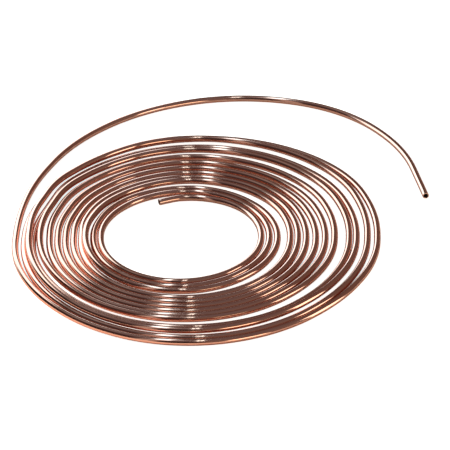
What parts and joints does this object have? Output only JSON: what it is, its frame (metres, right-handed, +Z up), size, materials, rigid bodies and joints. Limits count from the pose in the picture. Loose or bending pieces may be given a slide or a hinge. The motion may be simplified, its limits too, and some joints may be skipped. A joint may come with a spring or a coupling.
{
  "type": "copper tube coil",
  "caption": "Soft copper tube wound in a flat open spiral with a round clear eye, some turns riding on their neighbours, the outermost sprung away into a long loose tail with a square open end.",
  "frame": {"origin": "centre of the coil's bounding box in plan, at floor level under the tube", "axes": "+Z up from the floor the coil lies on, +Y towards the back of the picture and along the coil's longest extent, +X to the right of the picture"},
  "size_m": [0.2946, 0.328, 0.0092],
  "materials": {
    "copper": "polished bare copper"
  },
  "bodies": {
    "root": {"copper_tube": "copper"}
  },
  "joints": []
}
